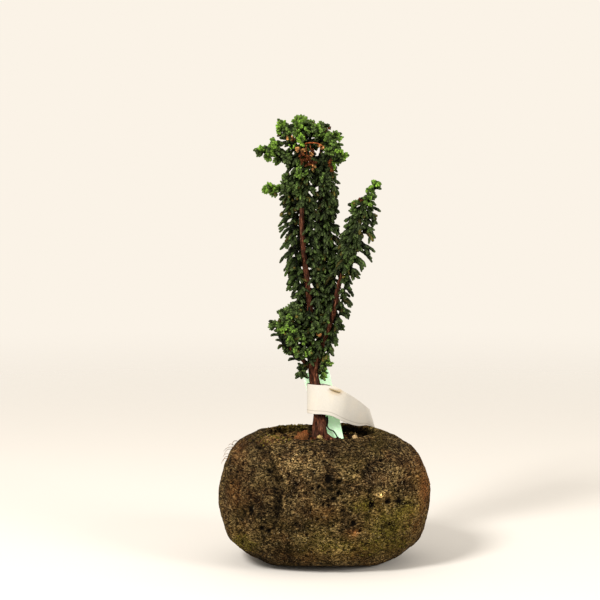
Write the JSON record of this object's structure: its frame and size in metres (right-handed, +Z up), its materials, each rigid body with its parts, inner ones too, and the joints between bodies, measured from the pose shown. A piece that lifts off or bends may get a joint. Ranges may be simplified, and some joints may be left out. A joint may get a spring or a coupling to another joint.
{
  "type": "hinoki cypress bonsai",
  "caption": "Young hinoki cypress bonsai with cord-like foliage in a hollowed, rounded lava stone, with soil, a paper strip and a plastic plant label.",
  "frame": {"origin": "on the surface it stands on, under the middle of the stone pot", "axes": "+Z up, +X to the right and -Y to the front, the side with the bare bark and the paper strip's staple"},
  "size_m": [0.1506, 0.1268, 0.3151],
  "materials": {
    "stone": "rough porous lava, partly mossy",
    "mesh": "matte black mesh",
    "soil": "granular fired clay and pumice",
    "bark": "red-brown peeling bark",
    "wire": "dark anodised wire",
    "label": "pale mint green, translucent",
    "paper": "bare matte white paper",
    "brass": "dull wire",
    "withered": "dead brown foliage",
    "leaf": "dark green scale-covered cords",
    "fresh": "bright green crested tips"
  },
  "bodies": {
    "root": {"stone_pot": "stone", "drain_mesh": "mesh", "soil": "soil", "trunk": "bark", "anchor_wire": "wire", "plant_label": "label", "name_strip": "paper", "staple": "brass", "withered_spray": "withered", "crested_shoot_1": "fresh", "crested_shoot_2": "fresh", "crested_shoot_3": "fresh", "crested_shoot_4": "fresh", "crested_shoot_5": "fresh", "crested_shoot_6": "fresh", "crested_shoot_7": "fresh", "crested_shoot_8": "fresh", "crested_shoot_9": "fresh", "crested_shoot_10": "fresh", "crested_shoot_11": "fresh", "crested_shoot_12": "fresh", "crested_shoot_13": "fresh", "crested_shoot_14": "fresh", "crested_shoot_15": "fresh", "crested_shoot_16": "fresh", "crested_shoot_17": "fresh", "crested_shoot_18": "fresh", "crested_shoot_19": "fresh", "crested_shoot_20": "fresh", "crested_shoot_21": "fresh", "crested_shoot_22": "fresh", "crested_shoot_23": "fresh", "crested_shoot_24": "fresh", "front_sprays_1": "leaf", "front_sprays_2": "leaf", "front_sprays_3": "leaf", "front_sprays_4": "leaf", "front_sprays_5": "leaf", "front_sprays_6": "leaf", "front_sprays_7": "leaf", "front_sprays_8": "leaf", "front_sprays_9": "leaf", "front_sprays_10": "leaf", "rear_sprays_1": "leaf", "rear_sprays_2": "leaf", "rear_sprays_3": "leaf", "rear_sprays_4": "leaf", "rear_sprays_5": "leaf", "rear_sprays_6": "leaf", "rear_sprays_7": "leaf", "rear_sprays_8": "leaf", "rear_sprays_9": "leaf", "right_sprays_1": "leaf", "right_sprays_2": "leaf", "right_sprays_3": "leaf", "right_sprays_4": "leaf", "right_sprays_5": "leaf", "right_sprays_6": "leaf", "right_sprays_7": "leaf", "right_sprays_8": "leaf"}
  },
  "joints": []
}
